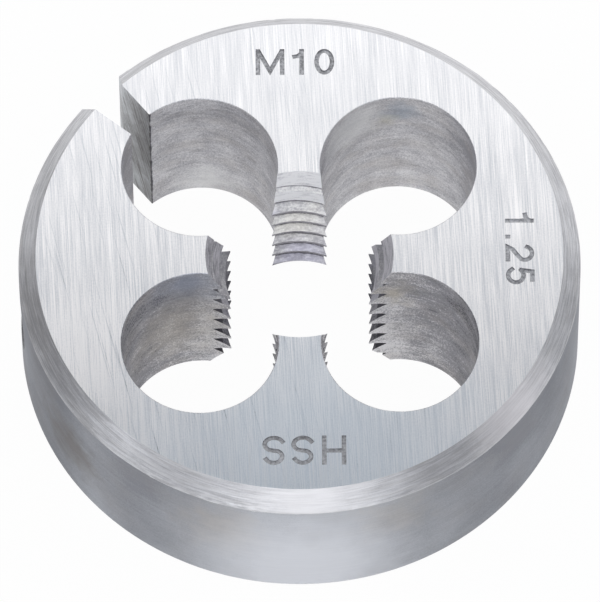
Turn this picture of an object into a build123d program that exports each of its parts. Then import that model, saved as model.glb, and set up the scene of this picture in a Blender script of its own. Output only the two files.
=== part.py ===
"""Round split threading die, one piece of hardened tool steel.

Lengths are in millimetres and angles in degrees. The origin is the centre of the
plain face that the die rests on. +Z runs along the bore to the marked face, and
+X and +Y each run through the middle of a cutting land.
"""

import os
from math import cos, degrees, radians, sin, tan

from build123d import *

# Body blank: a turned and ground disc
body_diameter = 33.34
body_thickness = 11.11
marked_chamfer_width = 1.04
marked_chamfer_height = 1.16
plain_chamfer = 0.73

# Thread that the lands cut, and the bore that they stand round
thread_diameter = 10.0
thread_pitch = 1.25
spring_open = 0.2
lead_relief = 0.575
lead_half_angle = 30.0

# Chip flutes, drilled through on one circle between the lands
flute_count = 4
flute_diameter = 9.27
flute_circle_diameter = 16.7
flute_start_angle = 45.0

# Adjusting slot, ground from the rim into one flute and wider at the rim. The corner
# of its right wall is broken off at the mouth, where the adjusting screw leads in
slot_angle = 135.0
slot_offset = 0.44
slot_mouth_width = 2.52
slot_taper_angle = 12.5
mouth_break_length = 1.15
mouth_break_width = 0.65

# Seats in the rim for the two closing screws of the holder
screw_seat_diameter = 5.5
screw_seat_cone_angle = 90.0
screw_seat_spacing = 45.0

# How far each cutter runs past the surface that it opens
cutter_overrun = 2.0

body_radius = body_diameter / 2
crest_diameter = thread_diameter - 5 / 4 * thread_pitch * cos(radians(30)) + spring_open
crest_radius = crest_diameter / 2
lead_mouth_radius = thread_diameter / 2 + lead_relief
lead_depth = (lead_mouth_radius - crest_radius) / tan(radians(lead_half_angle))


def unit_direction(angle):
    """Return the level unit vector that stands at an angle from +X."""
    return Vector(cos(radians(angle)), sin(radians(angle)), 0)


def turned_blank():
    """Turn the disc: two rim chamfers, and a bore with a lead cone at each face.

    The turning starts at the slot's angle, so the slot and its flute take away the
    seam line of every round face.
    """
    half_section = Polyline(
        (crest_radius, lead_depth),
        (lead_mouth_radius, 0),
        (body_radius - plain_chamfer, 0),
        (body_radius, plain_chamfer),
        (body_radius, body_thickness - marked_chamfer_height),
        (body_radius - marked_chamfer_width, body_thickness),
        (lead_mouth_radius, body_thickness),
        (crest_radius, body_thickness - lead_depth),
        close=True,
    )
    turned = revolve(Plane.XZ * make_face(half_section), Axis.Z)
    return Rot(0, 0, slot_angle) * turned


def flute_cutters():
    """Return one drill per chip flute. Each breaks into the bore beside two lands."""
    drill = Cylinder(
        flute_diameter / 2,
        body_thickness + 2 * cutter_overrun,
        align=(Align.CENTER, Align.CENTER, Align.MIN),
    )
    places = PolarLocations(flute_circle_diameter / 2, flute_count, flute_start_angle)
    return [Pos(0, 0, -cutter_overrun) * place * drill for place in places]


def slot_half_width(distance):
    """Return half the slot's width at a distance from the die's axis."""
    narrowing = (body_radius - distance) * tan(radians(slot_taper_angle / 2))
    return slot_mouth_width / 2 - narrowing


def slot_cutter():
    """Return the wedge that opens the rim, ending inside the flute that it meets."""
    inner = flute_circle_diameter / 2
    outer = body_radius + cutter_overrun
    break_start = body_radius - mouth_break_length
    start_side = slot_offset - slot_half_width(break_start)
    mouth_side = slot_offset - slot_half_width(body_radius) - mouth_break_width
    break_slope = (mouth_side - start_side) / mouth_break_length
    wedge_plan = Polyline(
        (inner, slot_offset - slot_half_width(inner)),
        (break_start, start_side),
        (outer, mouth_side + break_slope * cutter_overrun),
        (outer, slot_offset + slot_half_width(outer)),
        (inner, slot_offset + slot_half_width(inner)),
        close=True,
    )
    wedge = extrude(make_face(wedge_plan), body_thickness + 2 * cutter_overrun)
    return Rot(0, 0, slot_angle) * Pos(0, 0, -cutter_overrun) * wedge


def screw_seat_cutter(angle):
    """Return the cone that a holder's screw point sinks into, at an angle on the rim."""
    half_angle = radians(screw_seat_cone_angle / 2)
    depth = screw_seat_diameter / 2 / tan(half_angle)
    height = depth + cutter_overrun
    cone = Cone(
        0,
        height * tan(half_angle),
        height,
        align=(Align.CENTER, Align.CENTER, Align.MIN),
    )
    outward = unit_direction(angle)
    apex = outward * (body_radius - depth) + Vector(0, 0, body_thickness / 2)
    return Plane(origin=apex, z_dir=outward) * cone


def screw_seat_cutters():
    """Return the two seats, one on each side of the slot's mouth."""
    mouth_angle = slot_angle + degrees(slot_offset / body_radius)
    sides = (-screw_seat_spacing, screw_seat_spacing)
    return [screw_seat_cutter(mouth_angle + side) for side in sides]


def die_body():
    """Cut the flutes, the slot and the screw seats out of the turned blank."""
    body = turned_blank()
    for cutter in flute_cutters() + [slot_cutter()] + screw_seat_cutters():
        body -= cutter
    return body


os.makedirs("parts", exist_ok=True)
export_step(die_body(), "parts/die_body.step")
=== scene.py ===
"""A round split threading die in its studio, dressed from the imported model.

The die is one turned, drilled, slotted and tapped disc of hardened steel. It is cut here
again at full detail, with its thread, its size marks and the finish of each surface, and
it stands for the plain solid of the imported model. Shapes are cut in millimetres, and the
finished piece is brought to metres.
"""

import logging
import math
import random
from collections.abc import Iterator, Sequence
from dataclasses import dataclass
from enum import Enum

import bpy
from bpy.types import Material, Modifier, Node, NodeSocket, NodeTree, Object
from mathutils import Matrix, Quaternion, Vector


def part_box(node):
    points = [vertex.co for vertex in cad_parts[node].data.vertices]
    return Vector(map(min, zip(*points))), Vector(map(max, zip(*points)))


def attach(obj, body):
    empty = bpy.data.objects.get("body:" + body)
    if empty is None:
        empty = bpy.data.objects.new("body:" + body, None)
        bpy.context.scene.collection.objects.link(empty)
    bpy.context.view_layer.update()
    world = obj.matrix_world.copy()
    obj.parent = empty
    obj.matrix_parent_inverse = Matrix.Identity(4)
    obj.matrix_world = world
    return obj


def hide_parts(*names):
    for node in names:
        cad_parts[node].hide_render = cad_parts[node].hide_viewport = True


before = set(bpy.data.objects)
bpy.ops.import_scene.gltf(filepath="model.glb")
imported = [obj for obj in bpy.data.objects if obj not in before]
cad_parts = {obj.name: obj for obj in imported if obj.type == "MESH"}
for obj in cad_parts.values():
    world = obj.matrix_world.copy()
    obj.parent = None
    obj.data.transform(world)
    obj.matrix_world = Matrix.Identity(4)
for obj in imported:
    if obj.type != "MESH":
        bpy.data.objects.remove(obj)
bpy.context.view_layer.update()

LOG = logging.getLogger("threading_die")
NODE = "die_body"
BODY = "root"
MILLIMETRE = 0.001
MERGE_DISTANCE = 1e-5
SAME_POINT = 1e-6

Pair = tuple[float, float]
Triple = tuple[float, float, float]
Colour = tuple[float, float, float]
Profile = list[Pair]


class Zone(Enum):
    """The surfaces of the die that were each made by another operation."""

    GROUND_FACE = "ground_face"
    TURNED_CHAMFER = "turned_chamfer"
    GROUND_RIM = "ground_rim"
    DRILLED_FLUTE = "drilled_flute"
    REAMED_BORE = "reamed_bore"
    CUT_THREAD = "cut_thread"
    SAWN_SLOT = "sawn_slot"
    SCREW_SEAT = "screw_seat"
    STAMPED_MARK = "stamped_mark"


Tool = tuple[Object, Zone]


def deselect_everything() -> None:
    """Leave no object selected, so that an operator acts on new work alone."""
    bpy.ops.object.select_all(action="DESELECT")


def make_only_active(piece: Object) -> None:
    """Select one object and make it active.

    Args:
        piece: The object that the next operator acts on.
    """
    deselect_everything()
    piece.select_set(True)
    bpy.context.view_layer.objects.active = piece


def apply_modifier(piece: Object, modifier: Modifier) -> None:
    """Bake one modifier into the mesh of its object."""
    make_only_active(piece)
    bpy.ops.object.modifier_apply(modifier=modifier.name)


def apply_place(piece: Object) -> None:
    """Bake the place, turn and scale of an object into its mesh."""
    make_only_active(piece)
    bpy.ops.object.transform_apply(location=True, rotation=True, scale=True)


def open_mesh(piece: Object) -> None:
    """Open one object in edit mode with all of it selected.

    Args:
        piece: The object whose mesh is edited next.
    """
    make_only_active(piece)
    bpy.ops.object.mode_set(mode="EDIT")
    bpy.ops.mesh.select_all(action="SELECT")


def close_mesh() -> None:
    """Go back to object mode."""
    bpy.ops.object.mode_set(mode="OBJECT")


def extrude_up(rise: float) -> None:
    """Extrude what is selected in edit mode straight up."""
    bpy.ops.mesh.extrude_region_move(TRANSFORM_OT_translate={"value": (0.0, 0.0, rise)})


def recalculate_normals(piece: Object) -> None:
    """Merge doubled points and turn every face outwards.

    Args:
        piece: Closed object whose mesh is put right.
    """
    open_mesh(piece)
    bpy.ops.mesh.remove_doubles(threshold=MERGE_DISTANCE)
    bpy.ops.mesh.normals_make_consistent(inside=False)
    close_mesh()


def turned_solid(name: str, profile: Profile, segments: int, centre: Pair = (0.0, 0.0)) -> Object:
    """Turn a closed solid about a vertical line, ring by ring from the bottom up.

    Args:
        name: Name of the new object.
        profile: Radius and height of each ring, with rising heights.
        segments: Number of sides round the solid.
        centre: Where the vertical line stands.

    Returns:
        The solid, in millimetres, with flat ends.
    """
    deselect_everything()
    radius, height = profile[0]
    bpy.ops.mesh.primitive_circle_add(
        vertices=segments, radius=radius, fill_type="NGON", location=(*centre, height)
    )
    solid = bpy.context.object
    solid.name = name
    apply_place(solid)
    open_mesh(solid)
    for next_radius, next_height in profile[1:]:
        extrude_up(next_height - height)
        spread = next_radius / radius
        bpy.ops.transform.resize(value=(spread, spread, 1.0), center_override=(*centre, 0.0))
        radius, height = next_radius, next_height
    close_mesh()
    recalculate_normals(solid)
    return solid


def eased(profile: Profile, ease: float, hold: float) -> Profile:
    """Break each inner corner of a profile with a small three-point round.

    Args:
        profile: Corner points of the profile.
        ease: How far along each side the round starts.
        hold: How far along each side a point keeps the straight stretch in place.

    Returns:
        The profile with five points in place of each inner corner.
    """
    points = [Vector(point) for point in profile]
    rounded = [profile[0]]
    for before, corner, after in zip(points, points[1:], points[2:]):
        back = (before - corner).normalized()
        onward = (after - corner).normalized()
        middle = corner + (back + onward) * ease / 4
        round_points = (corner + back * hold, corner + back * ease, middle)
        round_points += (corner + onward * ease, corner + onward * hold)
        rounded += [tuple(point) for point in round_points]
    return rounded + [profile[-1]]


@dataclass
class TurnedBlank:
    """The disc as it leaves the lathe, with a chamfer at each rim edge."""

    radius: float
    thickness: float
    marked_chamfer_width: float = 1.04
    marked_chamfer_height: float = 1.16
    plain_chamfer: float = 0.73
    edge_ease: float = 0.05
    edge_hold: float = 0.18
    segments: int = 720
    face_slope: float = 0.9
    rim_slope: float = 0.05
    edge_wander: float = 0.03
    wave_counts: tuple[int, ...] = (3, 7, 13, 31, 67)
    wave_shares: Pair = (0.4, 1.0)
    nick_count: int = 60
    nick_widths: Pair = (0.004, 0.012)
    nick_shares: Pair = (0.2, 1.0)
    nick_depth: float = 0.06
    seed: int = 7

    def edge_height(self) -> float:
        """Return the height of the edge between the rim and the marked chamfer."""
        return self.thickness - self.marked_chamfer_height

    def build(self, finishes: dict[Zone, Material]) -> Object:
        """Turn the disc and give each turned surface its finish.

        Args:
            finishes: Material of each zone.

        Returns:
            The blank, in millimetres.
        """
        corners = [
            (self.radius - self.plain_chamfer, 0.0),
            (self.radius, self.plain_chamfer),
            (self.radius, self.edge_height()),
            (self.radius - self.marked_chamfer_width, self.thickness),
        ]
        profile = eased(corners, self.edge_ease, self.edge_hold)
        blank = turned_solid(NODE + "_dressed", profile, self.segments)
        face_slot, chamfer_slot, rim_slot = range(3)
        for zone in (Zone.GROUND_FACE, Zone.TURNED_CHAMFER, Zone.GROUND_RIM):
            blank.data.materials.append(finishes[zone])
        for face in blank.data.polygons:
            slope = abs(face.normal.z)
            if slope > self.face_slope:
                face.material_index = face_slot
            elif slope < self.rim_slope:
                face.material_index = rim_slot
            else:
                face.material_index = chamfer_slot
        self.roughen_edge(blank)
        return blank

    def roughen_edge(self, blank: Object) -> None:
        """Let the chamfer's lower edge wander a little and carry small nicks.

        Args:
            blank: The turned disc.
        """
        draw = random.Random(self.seed)
        waves = [
            (count, draw.uniform(0.0, math.tau), draw.uniform(*self.wave_shares))
            for count in self.wave_counts
        ]
        total = sum(share for _, _, share in waves)
        nicks = [
            (
                draw.uniform(-math.pi, math.pi),
                draw.uniform(*self.nick_widths),
                draw.uniform(*self.nick_shares),
            )
            for _ in range(self.nick_count)
        ]
        for point in blank.data.vertices:
            if abs(point.co.z - self.edge_height()) > 2 * self.edge_ease:
                continue
            angle = math.atan2(point.co.y, point.co.x)
            wander = sum(share * math.sin(count * angle + phase) for count, phase, share in waves)
            dip = 0.0
            for place, width, share in nicks:
                off = math.remainder(angle - place, math.tau) / width
                dip += share * math.exp(-off * off)
            point.co.z += self.edge_wander * wander / total - self.nick_depth * min(dip, 1.0)


class Operation:
    """One step of the die's making, which cuts its tools' shapes out of the body."""

    def tools(self) -> Iterator[Tool]:
        """Yield each tool as a closed solid, with the zone of the faces that it leaves."""
        raise NotImplementedError

    def cut_from(self, body: Object, finishes: dict[Zone, Material]) -> None:
        """Cut every tool's shape out of the body and remove the tool.

        Args:
            body: Object that is cut. It keeps the tool's material on the new faces.
            finishes: Material of each zone.
        """
        for tool, zone in self.tools():
            tool.data.materials.append(finishes[zone])
            difference = body.modifiers.new("cut", "BOOLEAN")
            difference.operation = "DIFFERENCE"
            difference.solver = "EXACT"
            difference.material_mode = "TRANSFER"
            difference.object = tool
            apply_modifier(body, difference)
            mesh = tool.data
            bpy.data.objects.remove(tool, do_unlink=True)
            bpy.data.meshes.remove(mesh)


@dataclass
class CuttingThread(Operation):
    """The bore with its lead cones and the right-hand thread that its lands carry."""

    thickness: float
    crest_radius: float = 4.4234
    lead_mouth_radius: float = 5.575
    marked_half_angle: float = 26.3
    plain_half_angle: float = 30.0
    reamer_overrun: float = 0.5
    pitch: float = 1.25
    root_radius: float = 5.33
    root_flat: float = 0.04
    inner_reach: float = 4.35
    flank_angle: float = 30.0
    groove_height: float = 1.001
    turns: int = 12
    bore_segments: int = 192
    steps_a_turn: int = 120

    def reamer(self) -> Object:
        """Turn the reamer of the plain bore and its two lead cones.

        Returns:
            The reamer, which runs a little past both faces.
        """
        past = self.reamer_overrun
        relief = self.lead_mouth_radius - self.crest_radius
        plain_slope = math.tan(math.radians(self.plain_half_angle))
        marked_slope = math.tan(math.radians(self.marked_half_angle))
        profile = [
            (self.lead_mouth_radius + past * plain_slope, -past),
            (self.crest_radius, relief / plain_slope),
            (self.crest_radius, self.thickness - relief / marked_slope),
            (self.lead_mouth_radius + past * marked_slope, self.thickness + past),
        ]
        return turned_solid("bore_reamer", profile, self.bore_segments)

    def tap(self) -> Object:
        """Turn the tap, a helical ridge that cuts the thread's groove.

        Returns:
            The tap, whose outer edge reaches the roots of the thread.
        """
        widening = math.tan(math.radians(self.flank_angle))
        root_half = self.root_flat / 2
        inner_half = root_half + (self.root_radius - self.inner_reach) * widening
        start = self.groove_height - 2 * self.pitch
        deselect_everything()
        bpy.ops.mesh.primitive_plane_add(size=1.0)
        ridge = bpy.context.object
        ridge.name = "thread_tap"
        for point in ridge.data.vertices:
            outside = point.co.x > 0
            upper = 1 if point.co.y > 0 else -1
            half = root_half if outside else inner_half
            point.co = (self.root_radius if outside else self.inner_reach, 0.0, start + upper * half)
        turning = ridge.modifiers.new("turning", "SCREW")
        turning.axis = "Z"
        turning.angle = math.tau
        turning.screw_offset = self.pitch
        turning.iterations = self.turns
        turning.steps = turning.render_steps = self.steps_a_turn
        apply_modifier(ridge, turning)
        open_mesh(ridge)
        bpy.ops.mesh.fill_holes(sides=4)
        close_mesh()
        recalculate_normals(ridge)
        return ridge

    def tools(self) -> Iterator[Tool]:
        """Yield the reamer and then the tap."""
        yield self.reamer(), Zone.REAMED_BORE
        yield self.tap(), Zone.CUT_THREAD


@dataclass
class ChipFlutes(Operation):
    """Four round flutes, drilled through beside the lands."""

    thickness: float
    diameter: float = 9.27
    circle_diameter: float = 16.7
    start_angle: float = 45.0
    count: int = 4
    mouth_ease: float = 0.04
    overrun: float = 2.0
    segments: int = 176

    def tools(self) -> Iterator[Tool]:
        """Turn the drill of every flute, a little wider at both faces.

        Returns:
            The drills, one at a time.
        """
        radius = self.diameter / 2
        wide = radius + self.mouth_ease
        profile = [
            (wide, -self.overrun),
            (wide, 0.0),
            (radius, self.mouth_ease),
            (radius, self.thickness - self.mouth_ease),
            (wide, self.thickness),
            (wide, self.thickness + self.overrun),
        ]
        reach = self.circle_diameter / 2
        for number in range(self.count):
            angle = math.radians(self.start_angle + 360 / self.count * number)
            centre = (reach * math.cos(angle), reach * math.sin(angle))
            yield turned_solid("flute_drill", profile, self.segments, centre), Zone.DRILLED_FLUTE


@dataclass
class AdjustingSlot(Operation):
    """The tapered slot that splits the die from its rim into one flute."""

    radius: float
    thickness: float
    angle: float = 135.0
    offset: float = 0.44
    mouth_width: float = 2.52
    taper_angle: float = 12.5
    mouth_break_length: float = 1.15
    mouth_break_width: float = 0.65
    inner_reach: float = 8.35
    overrun: float = 2.0

    def half_width(self, distance: float) -> float:
        """Return half the slot's width at a distance from the die's axis."""
        narrowing = (self.radius - distance) * math.tan(math.radians(self.taper_angle / 2))
        return self.mouth_width / 2 - narrowing

    def plan(self) -> Profile:
        """Draw the slot's outline, before its turn to its angle.

        Returns:
            The corners, from the inner end outwards and back along the other wall.
        """
        outer = self.radius + self.overrun
        break_start = self.radius - self.mouth_break_length
        start_side = self.offset - self.half_width(break_start)
        mouth_side = self.offset - self.half_width(self.radius) - self.mouth_break_width
        break_slope = (mouth_side - start_side) / self.mouth_break_length
        return [
            (self.inner_reach, self.offset - self.half_width(self.inner_reach)),
            (break_start, start_side),
            (outer, mouth_side + break_slope * self.overrun),
            (outer, self.offset + self.half_width(outer)),
            (self.inner_reach, self.offset + self.half_width(self.inner_reach)),
        ]

    def tools(self) -> Iterator[Tool]:
        """Build the grinding wheel that runs from the rim into the flute.

        Returns:
            The one wheel.
        """
        deselect_everything()
        corners = self.plan()
        bpy.ops.mesh.primitive_circle_add(vertices=len(corners), fill_type="NGON")
        wheel = bpy.context.object
        wheel.name = "slot_wheel"
        for point, corner in zip(wheel.data.vertices, corners):
            point.co = (*corner, -self.overrun)
        open_mesh(wheel)
        extrude_up(self.thickness + 2 * self.overrun)
        close_mesh()
        wheel.rotation_euler.z = math.radians(self.angle)
        recalculate_normals(wheel)
        apply_place(wheel)
        yield wheel, Zone.SAWN_SLOT


@dataclass
class ScrewSeats(Operation):
    """The two cone seats in the rim for the closing screws of the holder."""

    radius: float
    thickness: float
    mouth_angle: float = 136.51
    spacing: float = 45.0
    diameter: float = 5.5
    tip: float = 0.05
    overrun: float = 2.0
    segments: int = 96

    def tools(self) -> Iterator[Tool]:
        """Turn one cone for each side of the slot's mouth.

        Returns:
            The two cones, one at a time.
        """
        depth = self.diameter / 2
        reach = self.radius - depth
        profile = [(self.tip, self.tip), (depth + self.overrun, depth + self.overrun)]
        for side in (-1, 1):
            cone = turned_solid("seat_drill", profile, self.segments)
            angle = math.radians(self.mouth_angle + side * self.spacing)
            cone.rotation_euler = (0.0, math.pi / 2, angle)
            cone.location = (reach * math.cos(angle), reach * math.sin(angle), self.thickness / 2)
            apply_place(cone)
            yield cone, Zone.SCREW_SEAT


def arc(centre: Pair, radii: Pair, start: float, end: float, steps: int) -> Profile:
    """Return points along part of an ellipse.

    Args:
        centre: Middle of the ellipse.
        radii: Half its width and half its height.
        start: First angle in degrees, anticlockwise from the right.
        end: Last angle in degrees.
        steps: Number of straight runs.

    Returns:
        The points, from the first angle to the last.
    """
    angles = [math.radians(start + (end - start) * step / steps) for step in range(steps + 1)]
    return [(centre[0] + radii[0] * math.cos(a), centre[1] + radii[1] * math.sin(a)) for a in angles]


# Centre lines of each mark's strokes, one unit high, from its left foot
MARK_STROKES: dict[str, list[Profile]] = {
    "M": [
        [(0.0, 0.0), (0.0, 1.0)],
        [(0.06, 0.92), (0.485, 0.08), (0.91, 0.92)],
        [(0.97, 0.0), (0.97, 1.0)],
    ],
    "1": [[(0.28, 0.0), (0.28, 1.0)], [(0.0, 0.74), (0.14, 0.77), (0.24, 0.86), (0.28, 0.96)]],
    "0": [arc((0.31, 0.5), (0.31, 0.5), 0, 360, 32)],
    ".": [[(0.0, 0.0), (0.0, 0.02)]],
    "2": [
        arc((0.33, 0.70), (0.31, 0.30), 160, -30, 16)
        + [(0.40, 0.38), (0.14, 0.20), (0.03, 0.0), (0.62, 0.0)]
    ],
    "5": [[(0.54, 1.0), (0.15, 1.0), (0.08, 0.55)], arc((0.33, 0.32), (0.33, 0.32), 135, -150, 20)],
    "H": [[(0.0, 0.0), (0.0, 1.0)], [(0.0, 0.52), (0.70, 0.52)], [(0.70, 0.0), (0.70, 1.0)]],
    "S": [
        arc((0.36, 0.75), (0.30, 0.25), 25, 240, 14) + arc((0.35, 0.26), (0.33, 0.26), 60, -155, 14)
    ],
}


@dataclass
class SizeMark:
    """One short line of generic marks, such as the thread's size."""

    letters: str
    places: tuple[float, ...]
    height: float
    foot: Pair
    turn: float
    stroke: float = 0.27

    def lay_out(self) -> list[Profile]:
        """Lay every stroke at its place on the face.

        Returns:
            The centre line of each stroke.
        """
        rise = self.height - self.stroke
        half = self.stroke / 2
        laid = []
        for letter, place in zip(self.letters, self.places):
            for stroke in MARK_STROKES[letter]:
                points = self.with_square_ends(stroke, half / rise)
                laid.append([self.on_face(place + across * rise, half + up * rise) for across, up in points])
        return laid

    def on_face(self, x: float, y: float) -> Pair:
        """Return where a point of the level line of marks stands on the face."""
        cosine, sine = math.cos(math.radians(self.turn)), math.sin(math.radians(self.turn))
        return (self.foot[0] + x * cosine - y * sine, self.foot[1] + x * sine + y * cosine)

    def with_square_ends(self, stroke: Profile, reach: float) -> Profile:
        """Lengthen an open stroke at both ends.

        Args:
            stroke: Centre line of the stroke.
            reach: How far each end runs on.

        Returns:
            The longer stroke, or a closed one as it is.
        """
        points = [Vector(point) for point in stroke]
        if (points[0] - points[-1]).length < SAME_POINT:
            return stroke
        first = points[0] + (points[0] - points[1]).normalized() * reach
        last = points[-1] + (points[-1] - points[-2]).normalized() * reach
        return [tuple(first), *stroke[1:-1], tuple(last)]


@dataclass
class SizeMarks(Operation):
    """The generic size, pitch and steel marks that are sunk into the marked face."""

    thickness: float
    depth: float = 0.09
    marks: tuple[SizeMark, ...] = (
        SizeMark("M10", (0.0, 2.19, 3.50), 1.76, (-2.405, 12.14), 0.0),
        SizeMark("1.25", (0.0, 1.47, 2.12, 3.60), 1.70, (12.20, 2.54), -90.0),
        SizeMark("HSS", (0.0, 1.83, 3.53), 1.92, (2.535, -12.11), 180.0),
    )

    def punch(self, points: Profile, stroke: float) -> Object:
        """Return the punch of one stroke.

        Args:
            points: The stroke's centre line on the face.
            stroke: Width of the stroke.

        Returns:
            A closed solid that reaches from above the face to the mark's floor.
        """
        closed = math.dist(points[0], points[-1]) < SAME_POINT
        corners = points[:-1] if closed else points
        edges = [(n, n + 1) for n in range(len(corners) - 1)]
        if closed:
            edges.append((len(corners) - 1, 0))
        line = bpy.data.meshes.new("stroke")
        line.from_pydata([(x, y, self.thickness - self.depth) for x, y in corners], edges, [])
        solid = bpy.data.objects.new("stroke", line)
        bpy.context.collection.objects.link(solid)
        open_mesh(solid)
        extrude_up(2 * self.depth)
        close_mesh()
        wall = solid.modifiers.new("wall", "SOLIDIFY")
        wall.thickness = stroke
        wall.offset = 0.0
        wall.use_even_offset = True
        apply_modifier(solid, wall)
        recalculate_normals(solid)
        return solid

    def tools(self) -> Iterator[Tool]:
        """Build the punch of every stroke of every mark.

        Returns:
            The punches, one at a time.
        """
        for mark in self.marks:
            for points in mark.lay_out():
                yield self.punch(points, mark.stroke), Zone.STAMPED_MARK


@dataclass
class ThreadingDie:
    """The whole die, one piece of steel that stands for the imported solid."""

    radius: float
    thickness: float
    smooth_angle: float = 28.0

    def build(self, finishes: dict[Zone, Material]) -> Object:
        """Cut the die and give it its place in the frame.

        Args:
            finishes: Material of each zone.

        Returns:
            The dressed die, in metres.
        """
        die = TurnedBlank(self.radius, self.thickness).build(finishes)
        LOG.info("blank turned: %d faces", len(die.data.polygons))
        operations = (
            CuttingThread(self.thickness),
            ChipFlutes(self.thickness),
            AdjustingSlot(self.radius, self.thickness),
            ScrewSeats(self.radius, self.thickness),
            SizeMarks(self.thickness),
        )
        for operation in operations:
            operation.cut_from(die, finishes)
            LOG.info("%s cut: %d faces", type(operation).__name__, len(die.data.polygons))
        recalculate_normals(die)
        bpy.ops.object.shade_smooth_by_angle(angle=math.radians(self.smooth_angle))
        die.scale = (MILLIMETRE,) * 3
        apply_place(die)
        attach(die, BODY)
        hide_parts(NODE)
        return die


class NodeSheet:
    """A node tree that is written from left to right, one node at a time."""

    def __init__(self, tree: NodeTree) -> None:
        """Start with the tree as it is."""
        self.tree = tree

    def fill(self, node: Node, values: dict[str | int, object]) -> None:
        """Set or link inputs of a node.

        Args:
            node: Node whose inputs are filled.
            values: Constant or socket for each input, by the input's name or number.
        """
        for name, value in values.items():
            if isinstance(value, NodeSocket):
                self.tree.links.new(value, node.inputs[name])
            elif node.inputs[name].type == "RGBA":
                node.inputs[name].default_value = (*value, 1.0)
            else:
                node.inputs[name].default_value = value

    def add(self, kind: str, values: dict[str | int, object] | None = None, **properties: object) -> Node:
        """Add a node.

        Args:
            kind: Type of the node, without its prefix ShaderNode.
            values: Constant or socket for each input that doesn't stay as it is.
            **properties: Properties of the node by name.

        Returns:
            The new node.
        """
        node = self.tree.nodes.new("ShaderNode" + kind)
        for name, value in properties.items():
            setattr(node, name, value)
        self.fill(node, values or {})
        return node

    def math(self, operation: str, *values: float | NodeSocket, clamp: bool = False) -> NodeSocket:
        """Return the result of a sum on one or two values."""
        return self.add("Math", dict(enumerate(values)), operation=operation, use_clamp=clamp).outputs[0]

    def plus(self, first: NodeSocket, second: float | NodeSocket) -> NodeSocket:
        """Return two values added."""
        return self.math("ADD", first, second)

    def minus(self, first: float | NodeSocket, second: float | NodeSocket) -> NodeSocket:
        """Return the second value taken from the first."""
        return self.math("SUBTRACT", first, second)

    def times(self, first: NodeSocket, second: float | NodeSocket) -> NodeSocket:
        """Return two values multiplied."""
        return self.math("MULTIPLY", first, second)

    def swing(self, value: NodeSocket, spread: float | NodeSocket) -> NodeSocket:
        """Return a noise value moved to swing round nought over a spread."""
        return self.times(self.minus(value, 0.5), spread)

    def stretch(self, position: NodeSocket, density: Triple | NodeSocket) -> NodeSocket:
        """Return the position multiplied by a density on each axis."""
        return self.add("VectorMath", {0: position, 1: density}, operation="MULTIPLY").outputs[0]

    def turned(self, position: NodeSocket, degrees: Triple) -> NodeSocket:
        """Return a position turned about X, Y and Z."""
        values = {"Vector": position, "Rotation": tuple(math.radians(angle) for angle in degrees)}
        return self.add("VectorRotate", values, rotation_type="EULER_XYZ").outputs[0]

    def part(self, position: NodeSocket, axis: str) -> NodeSocket:
        """Return one coordinate of a position."""
        return self.add("SeparateXYZ", {0: position}).outputs[axis]

    def distance(self, position: NodeSocket, place: Triple) -> NodeSocket:
        """Return the distance of a position from a place."""
        return self.add("VectorMath", {0: position, 1: place}, operation="DISTANCE").outputs["Value"]

    def noise(
        self, position: NodeSocket, scale: float | NodeSocket = 1.0, detail: float = 2.0, rough: float = 0.5
    ) -> NodeSocket:
        """Return a noise value from nought to one at a position."""
        values = {"Vector": position, "Scale": scale, "Detail": detail, "Roughness": rough}
        return self.add("TexNoise", values).outputs["Fac"]

    def remap(self, value: NodeSocket, low: float, high: float, to_low: float, to_high: float) -> NodeSocket:
        """Return a value moved from one range to another, kept inside it."""
        values = {"Value": value, "From Min": low, "From Max": high, "To Min": to_low, "To Max": to_high}
        return self.add("MapRange", values).outputs["Result"]

    def blend(self, share: NodeSocket, first: Colour | NodeSocket, second: Colour | NodeSocket) -> NodeSocket:
        """Mix two colours.

        Args:
            share: Share of the second colour.
            first: The colour at nought.
            second: The colour at one.

        Returns:
            The mixed colour.
        """
        node = self.add("Mix", {"Factor": share}, data_type="RGBA")
        ends = [number for number, socket in enumerate(node.inputs) if socket.type == "RGBA"]
        self.fill(node, dict(zip(ends, (first, second))))
        return next(socket for socket in node.outputs if socket.type == "RGBA")


def open_group(
    name: str, inputs: dict[str, object], outputs: Sequence[str]
) -> tuple[NodeSheet, dict[str, NodeSocket], Node]:
    """Start a shader node group with named sockets.

    Args:
        name: Name of the group.
        inputs: Default value of each input. A position has none.
        outputs: Name of each value that the group puts out.

    Returns:
        The group's sheet, the sockets that bring its inputs, and its output node.
    """
    tree = bpy.data.node_groups.new(name, "ShaderNodeTree")
    for label, value in inputs.items():
        kind = "NodeSocketFloat" if isinstance(value, float) else "NodeSocketVector"
        socket = tree.interface.new_socket(name=label, in_out="INPUT", socket_type=kind)
        if value is not None:
            socket.default_value = value
    for label in outputs:
        tree.interface.new_socket(name=label, in_out="OUTPUT", socket_type="NodeSocketFloat")
    given = tree.nodes.new("NodeGroupInput").outputs
    return NodeSheet(tree), {label: given[label] for label in inputs}, tree.nodes.new("NodeGroupOutput")


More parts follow.
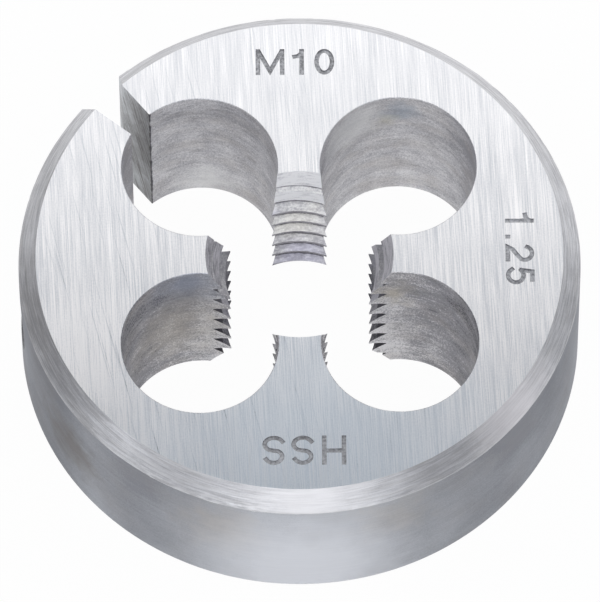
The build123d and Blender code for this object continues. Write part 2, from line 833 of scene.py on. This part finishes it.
def tool_lines_group() -> NodeTree:
    """Build the group of fine parallel lines that grinding and turning leave.

    Returns:
        A group that puts out the lines' tone, their height and a mask of deep scratches.
    """
    inputs = {"Position": None, "Density": (1.0, 1.0, 1.0), "Scratch Share": 0.3}
    sheet, given, result = open_group("tool_lines", inputs, ("Tone", "Height", "Scratch"))
    fine_share = 0.75
    broad_scale = 0.23
    scratch_density = (0.53, 0.47, 0.51)
    scratch_limit = 0.8
    scratch_range = 0.3
    scratch_edge = 12.0
    along = sheet.stretch(given["Position"], given["Density"])
    fine = sheet.noise(along, detail=3.0, rough=0.6)
    broad = sheet.noise(along, broad_scale)
    tone = sheet.plus(sheet.times(fine, fine_share), sheet.times(broad, 1.0 - fine_share))
    deep = sheet.noise(sheet.stretch(along, scratch_density), detail=1.0, rough=0.4)
    limit = sheet.minus(scratch_limit, sheet.times(given["Scratch Share"], scratch_range))
    scratch = sheet.math("MULTIPLY", sheet.minus(deep, limit), scratch_edge, clamp=True)
    sheet.fill(result, {"Tone": tone, "Height": sheet.minus(tone, scratch), "Scratch": scratch})
    return sheet.tree


def cloud_group() -> NodeTree:
    """Build the group of soft clouds and fine grain that colour bare steel.

    Returns:
        A group that puts out a broad cloud value and a grain value.
    """
    inputs = {"Position": None, "Cloud Size": 5.0, "Grain Density": 8.0}
    sheet, given, result = open_group("steel_cloud", inputs, ("Cloud", "Grain"))
    size = sheet.add("CombineXYZ", dict.fromkeys("XYZ", given["Cloud Size"]))
    shrink = sheet.add("VectorMath", {0: given["Position"], 1: size.outputs[0]}, operation="DIVIDE")
    cloud = sheet.noise(shrink.outputs[0], detail=3.0, rough=0.55)
    grain = sheet.noise(given["Position"], given["Grain Density"])
    sheet.fill(result, {"Cloud": cloud, "Grain": grain})
    return sheet.tree


class SteelSheet(NodeSheet):
    """The sheet of a steel material, with its place in millimetres and its shared groups."""

    def __init__(self, tree: NodeTree, finish: "SteelFinish", lines: NodeTree, clouds: NodeTree) -> None:
        """Lay the place and the groups.

        Args:
            tree: Node tree of the material.
            finish: Finish that gives the groups their values.
            lines: Group of tool lines.
            clouds: Group of clouds and grain.
        """
        super().__init__(tree)
        mapping = {
            "Vector": self.add("TexCoord").outputs["Object"],
            "Rotation": (0.0, 0.0, math.radians(finish.tilt)),
            "Scale": (1 / MILLIMETRE,) * 3,
        }
        self.position = self.add("Mapping", mapping).outputs["Vector"]
        values = {"Density": finish.density, "Scratch Share": finish.scratch_share}
        self.lines = self.add("Group", {"Position": self.position, **values}, node_tree=lines).outputs
        values = {"Cloud Size": finish.cloud_size, "Grain Density": finish.grain_density}
        self.clouds = self.add("Group", {"Position": self.position, **values}, node_tree=clouds).outputs

    def along(self, axis: str) -> NodeSocket:
        """Return one coordinate of the place."""
        return self.part(self.position, axis)

    def reach(self, place: Pair) -> NodeSocket:
        """Return the level distance from an upright line."""
        return self.distance(self.stretch(self.position, (1.0, 1.0, 0.0)), (*place, 0.0))

    def drift(
        self, density: Triple, scale: float = 1.0, detail: float = 2.0, rough: float = 0.5
    ) -> NodeSocket:
        """Return a noise value at the place, with a density on each axis."""
        return self.noise(self.stretch(self.position, density), scale, detail, rough)


@dataclass(frozen=True)
class PaintedLightPatch:
    """An upright band of painted shade or painted light round one place on the plan.

    The shade is full within the inner reach and gone beyond the outer reach. Less
    than nought is lighter.
    """

    place: Pair
    inner: float
    outer: float
    shade: float
    wander: float = 0.0
    ripple: float = 1.0
    density: Triple = (0.3, 0.3, 0.9)

    def shade_at(self, sheet: SteelSheet) -> NodeSocket:
        """Return the patch's shade at each point.

        Args:
            sheet: Sheet of the material.

        Returns:
            The shade that the patch adds there.
        """
        reach = sheet.reach(self.place)
        if self.wander:
            drift = sheet.drift(self.density, self.ripple)
            reach = sheet.plus(reach, sheet.swing(drift, 2 * self.wander))
        return sheet.remap(reach, self.inner, self.outer, self.shade, 0.0)


@dataclass(frozen=True)
class Tint:
    """A soft cloud of another colour round one place, such as old oil, a heat tint or a painted highlight."""

    place: Triple
    inner: float
    outer: float
    colour: Colour
    strength: float
    wander: float = 1.6
    ripple: float = 0.7

    def blend_over(self, sheet: SteelSheet, colour: NodeSocket) -> NodeSocket:
        """Lay the tint over a colour.

        Args:
            sheet: Sheet of the material.
            colour: Colour of the bare steel.

        Returns:
            The colour with the tint on it.
        """
        drift = sheet.noise(sheet.position, self.ripple, detail=3.0, rough=0.6)
        reach = sheet.plus(sheet.distance(sheet.position, self.place), sheet.swing(drift, 2 * self.wander))
        share = sheet.remap(reach, self.inner, self.outer, self.strength, 0.0)
        return sheet.blend(share, colour, self.colour)


@dataclass(frozen=True)
class SteelFinish:
    """How one zone of bare steel looks.

    Light, dark and stain are its colours, and shadow black is the painted shadow where the
    shade runs past one. Density is how many tool lines cross a millimetre on each axis, and
    the other values say how strong each effect is.
    """

    zone: Zone
    light: Colour
    dark: Colour
    metallic: float
    roughness: float
    density: Triple
    line_strength: float = 0.5
    scratch_share: float = 0.2
    scratch_strength: float = 0.3
    cloud_size: float = 6.0
    cloud_strength: float = 0.4
    grain_density: float = 10.0
    grain_strength: float = 0.1
    noise_gain: float = 4.0
    stain: Colour = (0.40, 0.36, 0.30)
    stain_strength: float = 0.0
    stain_density: Triple = (0.3, 0.3, 0.6)
    stain_edges: Pair = (0.45, 0.7)
    # Near-black of painted shadow, laid where the shade runs past one.
    shadow_black: Colour = (0.04, 0.04, 0.05)
    shadow_black_edges: Pair = (1.3, 2.3)
    shadow_black_share: float = 0.85
    # Painted shade at the foot and at the brow height, below nought for painted light.
    painted_foot_shade: float = 0.0
    painted_brow_shade: float = 0.0
    brow_height: float = 11.0
    front_contrast: float = 1.0
    back_contrast: float = 1.0
    contrast_reach: float = 5.0
    tone_range: Pair = (0.3, 0.7)
    roughness_spread: float = 0.08
    bump: float = 0.2
    bump_height: float = 0.02
    tilt: float = 0.0
    stretched_shine: float = 0.0
    shine_turn: float = 0.25
    # Bands of painted shade and painted light round given places.
    painted_light_patches: tuple[PaintedLightPatch, ...] = ()
    tints: tuple[Tint, ...] = ()

    def material(self, lines: NodeTree, clouds: NodeTree) -> Material:
        """Write the material of this finish.

        Args:
            lines: Group of tool lines.
            clouds: Group of clouds and grain.

        Returns:
            The new material.
        """
        material = bpy.data.materials.new(self.zone.value)
        material.use_nodes = True
        sheet = SteelSheet(material.node_tree, self, lines, clouds)
        low, high = self.roughness - self.roughness_spread, self.roughness + self.roughness_spread
        relief = {
            "Strength": self.bump,
            "Distance": self.bump_height * MILLIMETRE,
            "Height": sheet.lines["Height"],
        }
        values = {
            "Base Color": self.colour(sheet),
            "Metallic": self.metallic,
            "Roughness": sheet.remap(sheet.lines["Tone"], *self.tone_range, low, high),
            "Anisotropic": self.stretched_shine,
            "Anisotropic Rotation": self.shine_turn,
            "Normal": sheet.add("Bump", relief).outputs["Normal"],
        }
        sheet.fill(material.node_tree.nodes["Principled BSDF"], values)
        return material

    def colour(self, sheet: SteelSheet) -> NodeSocket:
        """Mix the steel's colours.

        Args:
            sheet: Sheet of the material.

        Returns:
            The colour of each point.
        """
        shade = self.shade(sheet)
        colour = sheet.blend(sheet.remap(shade, 0.0, 1.0, 0.0, 1.0), self.light, self.dark)
        if self.stain_strength:
            stained = sheet.drift(self.stain_density, detail=3.0, rough=0.6)
            share = sheet.remap(stained, *self.stain_edges, 0.0, self.stain_strength)
            colour = sheet.blend(share, colour, self.stain)
        for tint in self.tints:
            colour = tint.blend_over(sheet, colour)
        # Where the shade runs past one, the colour goes on towards black: painted shadow in grooves and
        # corners.
        return sheet.blend(sheet.remap(shade, *self.shadow_black_edges, 0.0, self.shadow_black_share), colour, self.shadow_black)

    def shade(self, sheet: SteelSheet) -> NodeSocket:
        """Add up all that darkens or lightens the steel, the painted light and shade among it.

        Args:
            sheet: Sheet of the material.

        Returns:
            How dark each point is, from nought for light to one for dark.
        """
        noises = (
            (sheet.lines["Tone"], self.line_strength),
            (sheet.clouds["Cloud"], self.cloud_strength),
            (sheet.clouds["Grain"], self.grain_strength),
        )
        total = sheet.times(sheet.lines["Scratch"], self.scratch_strength)
        for value, strength in noises:
            total = sheet.plus(total, sheet.swing(value, self.noise_gain * strength))
        # Painted shade and painted light round given places, for how the lamps fall there.
        for patch in self.painted_light_patches:
            total = sheet.plus(total, patch.shade_at(sheet))
        # Painted light and shade that change with height, for how the lamps fall on lower and upper parts.
        if self.painted_foot_shade or self.painted_brow_shade:
            rising = sheet.remap(sheet.along("Z"), 0.0, self.brow_height, self.painted_foot_shade, self.painted_brow_shade)
            total = sheet.plus(total, rising)
        total = sheet.plus(total, self.special_shade(sheet))
        if self.front_contrast != self.back_contrast:
            ends = (-self.contrast_reach, self.contrast_reach, self.front_contrast, self.back_contrast)
            total = sheet.times(total, sheet.remap(sheet.along("Y"), *ends))
        return sheet.plus(total, 0.5)

    def special_shade(self, sheet: SteelSheet) -> NodeSocket | float:
        """Return the shade that only this kind of finish has. A plain one has none."""
        return 0.0


@dataclass(frozen=True)
class GroundFaceFinish(SteelFinish):
    """The ground faces, with long slanted scratches, most of them on one side."""

    slant_from: float = 6.0
    slant_to: float = -7.0
    slant_angle: float = 11.0
    slant_density: Triple = (10.0, 0.14, 1.0)
    slant_edges: Pair = (0.62, 0.78)
    slant_strength: float = 0.9
    slant_rest: float = 0.1

    def special_shade(self, sheet: SteelSheet) -> NodeSocket:
        """Return the shade of the slanted scratches.

        Args:
            sheet: Sheet of the material.

        Returns:
            The scratches' shade, which fades from one side to the other.
        """
        turned = sheet.turned(sheet.position, (0.0, 0.0, -self.slant_angle))
        value = sheet.noise(sheet.stretch(turned, self.slant_density), detail=1.0, rough=0.4)
        dark = sheet.remap(value, *self.slant_edges, 0.0, self.slant_strength)
        side = sheet.remap(sheet.along("X"), self.slant_from, self.slant_to, self.slant_rest, 1.0)
        return sheet.times(dark, side)


@dataclass(frozen=True)
class ThreadFinish(SteelFinish):
    """The thread's flanks, with painted shadow where the crests above hang over them."""

    covered_reach: float = 4.85
    fade: float = 0.07
    cone_foot: float = 7.94
    cone_brow: float = 10.4
    cone_widening: float = 0.46
    overhang_shade: float = 2.0
    side_reach: float = 3.4
    side_fade: float = 0.5
    side_shade: float = 1.05
    side_shade_weakens_from: float = 5.8
    side_shade_weakens_to: float = 7.6
    side_shade_top_share: float = 0.3

    def special_shade(self, sheet: SteelSheet) -> NodeSocket:
        """Return the painted shadow under the crests and the painted shade on the two side lands.

        Args:
            sheet: Sheet of the material.

        Returns:
            The painted shadow and shade. In the lead cone the shadow starts further out.
        """
        height = sheet.along("Z")
        # Painted shadow where each crest above hangs over the flank; in the lead cone it starts further out.
        widening = sheet.remap(height, self.cone_foot, self.cone_brow, 0.0, self.cone_widening)
        reach = sheet.minus(sheet.reach((0.0, 0.0)), widening)
        overhang_shadow = sheet.remap(reach, self.covered_reach - self.fade, self.covered_reach, 0.0, self.overhang_shade)
        # Painted shade on the two side lands, weaker higher up.
        across = sheet.math("ABSOLUTE", sheet.along("X"))
        side = sheet.remap(across, self.side_reach, self.side_reach + self.side_fade, 0.0, self.side_shade)
        share = sheet.remap(height, self.side_shade_weakens_from, self.side_shade_weakens_to, 1.0, self.side_shade_top_share)
        return sheet.plus(overhang_shadow, sheet.times(side, share))


@dataclass(frozen=True)
class ChamferFinish(SteelFinish):
    """The turned chamfers, with a ragged, flecked stretch along the rim's edge."""

    fleck_place: Pair = (-5.8, -15.6)
    fleck_reach: float = 3.5
    fleck_end: float = 5.6
    fleck_rest: float = 0.15
    fleck_height: float = 9.95
    fleck_rise: float = 0.5
    fleck_density: Triple = (1.6, 1.6, 9.0)
    fleck_strength: float = 1.8

    def special_shade(self, sheet: SteelSheet) -> NodeSocket:
        """Return the shade of the flecks.

        Args:
            sheet: Sheet of the material.

        Returns:
            The flecks' shade, which fades up the chamfer and away from their place.
        """
        top = self.fleck_height + self.fleck_rise
        low = sheet.remap(sheet.along("Z"), self.fleck_height, top, self.fleck_strength, 0.0)
        reach = sheet.reach(self.fleck_place)
        near = sheet.remap(reach, self.fleck_reach, self.fleck_end, 1.0, self.fleck_rest)
        return sheet.swing(sheet.drift(self.fleck_density, detail=1.0), sheet.times(low, near))


@dataclass(frozen=True)
class FluteFinish(SteelFinish):
    """The drilled flutes, with a band of painted shadow a little below the face."""

    shadow_band_height: float = 9.1
    shadow_band_half: float = 0.9
    shadow_band_wander: float = 1.6
    shadow_band_density: Triple = (0.3, 0.3, 0.3)
    shadow_band_shade: float = 0.35

    def special_shade(self, sheet: SteelSheet) -> NodeSocket:
        """Return the painted shadow of the band.

        Args:
            sheet: Sheet of the material.

        Returns:
            The band's painted shadow, which is full in the middle of its height.
        """
        # Painted shadow in a band that follows the face, a little below it.
        drift = sheet.swing(sheet.drift(self.shadow_band_density), 2 * self.shadow_band_wander)
        off = sheet.math("ABSOLUTE", sheet.minus(sheet.plus(sheet.along("Z"), drift), self.shadow_band_height))
        return sheet.remap(off, 0.0, self.shadow_band_half, self.shadow_band_shade, 0.0)


@dataclass(frozen=True)
class SlotFinish(SteelFinish):
    """The slot's walls, with the grinding wheel's lines running down and inwards."""

    wall_angle: float = 135.0
    slant_angle: float = 17.5
    slant_density: Triple = (9.0, 0.5, 0.35)
    slant_edges: Pair = (0.52, 0.68)
    slant_strength: float = 1.0

    def special_shade(self, sheet: SteelSheet) -> NodeSocket:
        """Return the shade of the wheel's lines.

        Args:
            sheet: Sheet of the material.

        Returns:
            The lines' shade.
        """
        along = sheet.turned(sheet.position, (0.0, 0.0, -self.wall_angle))
        across = sheet.turned(along, (0.0, -self.slant_angle, 0.0))
        value = sheet.noise(sheet.stretch(across, self.slant_density))
        return sheet.remap(value, *self.slant_edges, 0.0, self.slant_strength)


# A thin line of painted shade along the corner where the slot meets the back-left flute.
CORNER_SHADE_LINE = PaintedLightPatch((-8.876, 9.461), 0.02, 0.09, 3.0, wander=0.15, ripple=2.0)
BLUE_HEAT = (0.36, 0.40, 0.50)
BLUE_GREY = (0.44, 0.50, 0.58)
STRAW_HEAT = (0.66, 0.64, 0.50)
PALE_STRAW = (0.93, 0.89, 0.77)
BROWN_STAIN = (0.72, 0.66, 0.55)
DULL_STAIN = (0.70, 0.64, 0.54)
# Painted highlight, pale, on the walls of the two back flutes.
PALE_HIGHLIGHT = (1.0, 1.0, 0.99)
# Painted highlight at the foot of the rim's front.
RIM_FOOT_HIGHLIGHT = (0.74, 0.745, 0.77)
# Painted highlight, even and light, at the front of the chamfer.
CHAMFER_FRONT_HIGHLIGHT = (0.79, 0.775, 0.78)
# A warmer, even tone on the front right of the chamfer.
WARM_EVEN_CHAMFER = (0.76, 0.73, 0.74)
SKY_SHINE = (0.56, 0.69, 0.80)
VIOLET_SHINE = (0.50, 0.48, 0.64)
OLD_OIL = (0.30, 0.28, 0.265)
WARM_FILM = (0.53, 0.50, 0.47)

FINISHES: tuple[SteelFinish, ...] = (
    GroundFaceFinish(
        Zone.GROUND_FACE,
        light=(0.92, 0.905, 0.90),
        dark=(0.63, 0.64, 0.665),
        metallic=0.9,
        roughness=0.36,
        density=(20.0, 0.25, 1.0),
        line_strength=1.1,
        scratch_strength=0.2,
        cloud_strength=0.15,
        cloud_size=5.0,
        grain_strength=0.2,
        grain_density=9.0,
        front_contrast=1.3,
        back_contrast=0.6,
        contrast_reach=12.0,
        bump=0.1,
        tilt=-3.0,
        painted_light_patches=(PaintedLightPatch((-12.8, -5.5), 1.5, 4.5, -0.3),),
        tints=(Tint((0.0, -15.0, 11.0), 4.0, 14.0, SKY_SHINE, 0.35),),
    ),
    ChamferFinish(
        Zone.TURNED_CHAMFER,
        light=(0.89, 0.885, 0.90),
        dark=(0.445, 0.44, 0.455),
        metallic=0.9,
        roughness=0.47,
        density=(0.6, 0.6, 14.0),
        line_strength=0.6,
        scratch_strength=0.5,
        cloud_strength=0.2,
        bump=0.1,
        stain=(0.50, 0.47, 0.43),
        stain_strength=0.2,
        stain_density=(0.35, 0.35, 8.0),
        stretched_shine=0.5,
        # Painted shade on the chamfer's left and front right, painted light at its front left.
        painted_light_patches=(
            PaintedLightPatch((-15.2, -6.5), 1.0, 7.0, 0.4),
            PaintedLightPatch((-9.4, -13.2), 1.0, 4.0, -0.1),
            PaintedLightPatch((8.4, -13.9), 0.5, 3.0, 0.25),
        ),
        tints=(
            Tint((-15.9, -3.6, 10.6), 1.5, 6.5, OLD_OIL, 0.2),
            # Painted highlight, even and light, at the front of the chamfer.
            Tint((0.3, -16.2, 10.6), 1.0, 4.5, CHAMFER_FRONT_HIGHLIGHT, 0.8),
            Tint((12.6, -10.3, 10.6), 1.0, 4.0, WARM_EVEN_CHAMFER, 0.7),
        ),
    ),
    SteelFinish(
        Zone.GROUND_RIM,
        light=(0.545, 0.555, 0.58),
        dark=(0.34, 0.345, 0.37),
        metallic=0.9,
        roughness=0.6,
        density=(0.4, 0.4, 12.0),
        line_strength=0.12,
        cloud_strength=0.3,
        cloud_size=4.0,
        grain_strength=0.25,
        stain=(0.42, 0.39, 0.38),
        stain_strength=0.25,
        stain_density=(0.3, 0.3, 0.3),
        # Painted light towards the rim's foot, painted shade towards its top.
        painted_foot_shade=-0.35,
        painted_brow_shade=0.1,
        bump=0.05,
        stretched_shine=0.85,
        # Painted shade on the rim's front-left and front-right sides, painted highlight at its front.
        painted_light_patches=(
            PaintedLightPatch((-14.6, -8.1), 0.5, 4.0, 0.45, wander=1.5),
            PaintedLightPatch((0.4, -16.67), 2.0, 7.0, -0.5),
            PaintedLightPatch((-9.6, -13.6), 1.0, 4.0, 0.3, wander=1.0),
            PaintedLightPatch((13.2, -10.2), 2.0, 6.5, 0.45, wander=1.0),
        ),
        tints=(
            Tint((-4.8, -16.0, 6.8), 0.4, 3.4, WARM_FILM, 0.6, wander=3.0),
            Tint((5.5, -15.7, 7.8), 0.3, 3.0, WARM_FILM, 0.5, wander=3.0),
            Tint((-13.7, -9.5, 5.4), 0.6, 3.0, OLD_OIL, 0.7, wander=3.0),
            # Painted highlight at the foot of the rim's front.
            Tint((0.0, -16.67, 3.0), 2.5, 7.5, RIM_FOOT_HIGHLIGHT, 0.8),
        ),
    ),
    FluteFinish(
        Zone.DRILLED_FLUTE,
        light=(1.0, 0.99, 1.0),
        dark=(0.42, 0.415, 0.445),
        metallic=0.75,
        roughness=0.52,
        density=(0.8, 0.8, 3.8),
        line_strength=0.4,
        cloud_strength=0.3,
        cloud_size=1.5,
        grain_strength=0.55,
        stain=(0.60, 0.55, 0.50),
        stain_strength=0.3,
        # Faint painted light at the flutes' foot, painted shade towards their brow.
        painted_foot_shade=-0.02,
        painted_brow_shade=0.15,
        front_contrast=1.5,
        back_contrast=0.65,
        # Painted shade along the slot's corner, on the flutes' outer sides and beside the slot, and painted
        # light on the front flutes near the bore and in the back-right flute.
        painted_light_patches=(
            CORNER_SHADE_LINE,
            PaintedLightPatch((-9.0, -5.5), 2.0, 6.0, 0.5, wander=1.0),
            PaintedLightPatch((9.5, -5.0), 2.0, 6.0, 0.5, wander=1.0),
            PaintedLightPatch((10.8, 6.0), 1.0, 4.0, 0.5, wander=0.8),
            PaintedLightPatch((-10.0, 7.6), 1.0, 2.2, 0.5, wander=0.4),
            PaintedLightPatch((-4.6, -1.6), 0.6, 3.0, -0.25, wander=0.6),
            PaintedLightPatch((4.6, -1.6), 0.6, 2.8, -0.35, wander=0.6),
            PaintedLightPatch((5.9, 10.5), 1.5, 4.5, -0.2),
        ),
        tints=(
            Tint((6.1, 10.5, 9.5), 0.2, 1.4, BLUE_GREY, 0.6),
            Tint((5.2, 10.5, 8.3), 0.1, 0.9, STRAW_HEAT, 0.35),
            # Painted highlights on the back flutes' walls, at the top of one and the foot of the other.
            Tint((3.1, 9.6, 9.4), 0.8, 2.6, PALE_HIGHLIGHT, 0.65),
            Tint((-5.6, 10.5, 1.2), 0.4, 2.4, PALE_HIGHLIGHT, 0.6),
            Tint((5.6, -1.2, 8.4), 0.2, 1.6, BROWN_STAIN, 0.6),
            Tint((-6.6, -1.3, 10.0), 0.6, 2.8, BLUE_HEAT, 0.7),
            Tint((-7.2, -1.5, 7.2), 0.5, 2.8, OLD_OIL, 0.35),
            Tint((-7.6, -1.9, 4.6), 1.0, 3.6, DULL_STAIN, 0.35, wander=2.4),
        ),
    ),
    SteelFinish(
        Zone.REAMED_BORE,
        light=(1.0, 0.99, 0.99),
        dark=(0.60, 0.58, 0.61),
        metallic=0.2,
        roughness=0.8,
        density=(1.2, 1.2, 9.0),
        line_strength=0.9,
        cloud_strength=0.1,
        grain_strength=0.2,
        bump=0.6,
        # Painted light on the back land's lead cone, painted shade on the crests and on the two side lands.
        painted_light_patches=(
            PaintedLightPatch((0.0, 5.0), 1.5, 2.6, -0.5),
            PaintedLightPatch((0.0, 0.0), 4.43, 4.5, 1.3),
            PaintedLightPatch((-5.2, 0.0), 1.8, 2.6, 1.0),
            PaintedLightPatch((5.2, 0.0), 1.8, 2.6, 0.9),
        ),
    ),
    ThreadFinish(
        Zone.CUT_THREAD,
        light=(0.63, 0.62, 0.61),
        dark=(0.36, 0.35, 0.37),
        # Near-black of the painted shadow under the crests.
        shadow_black=(0.08, 0.08, 0.09),
        metallic=0.85,
        roughness=0.42,
        density=(3.0, 3.0, 13.0),
        line_strength=0.8,
        cloud_strength=0.2,
        grain_strength=0.45,
        grain_density=9.0,
        stain=(0.64, 0.62, 0.72),
        stain_strength=0.4,
        stain_density=(0.5, 0.5, 0.5),
        # Painted shade towards the thread's foot, painted light towards its brow.
        painted_foot_shade=0.35,
        painted_brow_shade=-0.2,
        bump=0.1,
        tints=(
            Tint((0.0, 4.8, 6.2), 0.4, 2.6, PALE_STRAW, 0.35),
            Tint((0.0, 4.8, 2.4), 0.2, 1.8, VIOLET_SHINE, 0.4),
        ),
    ),
    SlotFinish(
        Zone.SAWN_SLOT,
        light=(0.66, 0.68, 0.70),
        dark=(0.26, 0.25, 0.25),
        metallic=0.85,
        roughness=0.45,
        density=(3.0, 3.0, 3.0),
        line_strength=0.15,
        cloud_strength=0.5,
        cloud_size=3.0,
        # A painted shade line along the corner with the flute, and painted light on the wall near the rim.
        painted_light_patches=(CORNER_SHADE_LINE, PaintedLightPatch((-11.9, 12.4), 1.5, 3.5, -0.4)),
    ),
    SteelFinish(
        Zone.SCREW_SEAT,
        light=(0.38, 0.38, 0.39),
        dark=(0.20, 0.20, 0.21),
        metallic=0.8,
        roughness=0.5,
        density=(5.0, 5.0, 5.0),
    ),
    SteelFinish(
        Zone.STAMPED_MARK,
        light=(0.58, 0.58, 0.60),
        dark=(0.24, 0.24, 0.25),
        metallic=0.5,
        roughness=0.6,
        density=(6.0, 6.0, 6.0),
        line_strength=0.9,
    ),
)


def write_materials() -> dict[Zone, Material]:
    """Return the material of every zone."""
    lines, clouds = tool_lines_group(), cloud_group()
    return {finish.zone: finish.material(lines, clouds) for finish in FINISHES}


@dataclass(frozen=True)
class Softbox:
    """One rectangular lamp that faces the die, with its lengths in radii of the die."""

    name: str
    size: Pair
    place: Triple
    radiance: float
    colour: Colour = (0.95, 0.97, 1.0)

    def build(self, radius: float) -> None:
        """Hang the lamp and turn it to the middle of the plain face.

        Args:
            radius: Radius of the die in metres.
        """
        place = tuple(radius * length for length in self.place)
        deselect_everything()
        bpy.ops.object.light_add(type="AREA", location=place)
        lamp = bpy.context.object
        lamp.name = self.name
        lamp.data.shape = "RECTANGLE"
        width, depth = (radius * length for length in self.size)
        lamp.data.size, lamp.data.size_y = width, depth
        lamp.data.energy = self.radiance * math.pi * width * depth
        lamp.data.color = self.colour
        lamp.rotation_euler = (-Vector(place)).to_track_quat("-Z", "Y").to_euler()


@dataclass
class Studio:
    """The pale floor, the soft lights and the room round the die."""

    radius: float
    floor_span: float = 60.0
    floor_white: float = 0.9
    seen_glow: float = 0.97
    mirrored_glow: float = 0.5
    room_level: float = 0.2
    room_colour: Colour = (0.84, 0.89, 1.0)
    white: Colour = (1.0, 1.0, 1.0)
    softboxes: tuple[Softbox, ...] = (
        Softbox("back_softbox", (8.0, 5.0), (0.0, 3.7, 3.2), 1.22, (1.0, 1.0, 1.0)),
        Softbox("front_softbox", (8.6, 7.4), (0.0, -10.0, 3.8), 1.1),
        Softbox("left_softbox", (4.0, 4.6), (-8.6, -4.9, 2.6), 1.1),
        Softbox("right_softbox", (4.2, 4.4), (9.5, -2.8, 2.4), 1.1),
        Softbox("side_softbox", (5.0, 3.0), (8.2, 5.6, 1.6), 0.8),
        Softbox("top_softbox", (10.0, 7.0), (0.0, -3.5, 7.0), 1.35),
    )

    def build(self) -> None:
        """Set up the floor, the room and the lights."""
        self.lay_floor()
        self.light_room()
        for softbox in self.softboxes:
            softbox.build(self.radius)

    def lay_floor(self) -> None:
        """Lay the white floor, which shows itself white and keeps a soft shadow."""
        deselect_everything()
        bpy.ops.mesh.primitive_plane_add(size=self.floor_span * self.radius)
        floor = bpy.context.object
        floor.name = "studio_floor"
        material = bpy.data.materials.new("floor_white")
        material.use_nodes = True
        sheet = NodeSheet(material.node_tree)
        paint = material.node_tree.nodes["Principled BSDF"]
        dull = {"Base Color": (self.floor_white,) * 3, "Roughness": 1.0, "Specular IOR Level": 0.0}
        sheet.fill(paint, dull)
        path = sheet.add("LightPath").outputs
        seen = sheet.times(path["Is Camera Ray"], self.seen_glow)
        mirrored = sheet.math("MAXIMUM", path["Is Glossy Ray"], path["Is Transmission Ray"])
        share = sheet.math("MAXIMUM", seen, sheet.times(mirrored, self.mirrored_glow))
        glow = sheet.add("Emission", {"Color": self.white})
        mix = sheet.add("MixShader", {0: share, 1: paint.outputs[0], 2: glow.outputs[0]})
        sheet.fill(material.node_tree.nodes["Material Output"], {"Surface": mix.outputs[0]})
        floor.data.materials.append(material)

    def light_room(self) -> None:
        """Make the room white to the camera and a plain even grey to the rest."""
        world = bpy.data.worlds.new("studio_room")
        bpy.context.scene.world = world
        world.use_nodes = True
        sheet = NodeSheet(world.node_tree)
        seen = sheet.add("LightPath").outputs["Is Camera Ray"]
        values = {
            "Color": sheet.blend(seen, self.room_colour, self.white),
            "Strength": sheet.remap(seen, 0.0, 1.0, self.room_level, 1.0),
        }
        sheet.fill(world.node_tree.nodes["Background"], values)


@dataclass
class PhotoCamera:
    """The camera that stands where the photograph was taken."""

    elevation: float = 62.004
    distance: float = 666.8
    aim: Pair = (0.0433, 5.104)
    roll: float = 0.3831
    focal_pixels: float = 11174.7
    picture_side: float = 602.0
    sensor: float = 36.0
    half_pixel: float = 0.0298
    nearest: float = 0.01
    farthest: float = 10.0

    def build(self) -> None:
        """Place the camera and make it the scene's own."""
        rise = math.radians(self.elevation)
        back = Vector((0.0, -math.cos(rise), math.sin(rise)))
        up = Vector((0.0, math.sin(rise), math.cos(rise)))
        target = Vector((self.aim[0] - self.half_pixel, 0.0, self.aim[1])) + up * self.half_pixel
        deselect_everything()
        bpy.ops.object.camera_add(location=(target + back * self.distance) * MILLIMETRE)
        camera = bpy.context.object
        camera.name = "photo_camera"
        camera.data.sensor_fit = "AUTO"
        camera.data.sensor_width = self.sensor
        camera.data.lens = self.focal_pixels * self.sensor / self.picture_side
        camera.data.clip_start = self.nearest
        camera.data.clip_end = self.farthest
        camera.rotation_mode = "QUATERNION"
        level = (-back).to_track_quat("-Z", "Y")
        camera.rotation_quaternion = level @ Quaternion((0.0, 0.0, 1.0), -math.radians(self.roll))
        bpy.context.scene.camera = camera


def main() -> None:
    """Build the die, the studio and the camera in order."""
    logging.basicConfig(level=logging.INFO, format="%(name)s: %(message)s")
    low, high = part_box(NODE)
    radius = (high.x - low.x) / 2
    thickness = high.z - low.z
    PhotoCamera().build()
    LOG.info("camera placed")
    die = ThreadingDie(radius / MILLIMETRE, thickness / MILLIMETRE).build(write_materials())
    LOG.info("%s finished: %d faces", die.name, len(die.data.polygons))
    Studio(radius).build()
    LOG.info("studio lit")
    bpy.context.scene.view_settings.view_transform = "Standard"


if __name__ == "__main__":
    main()
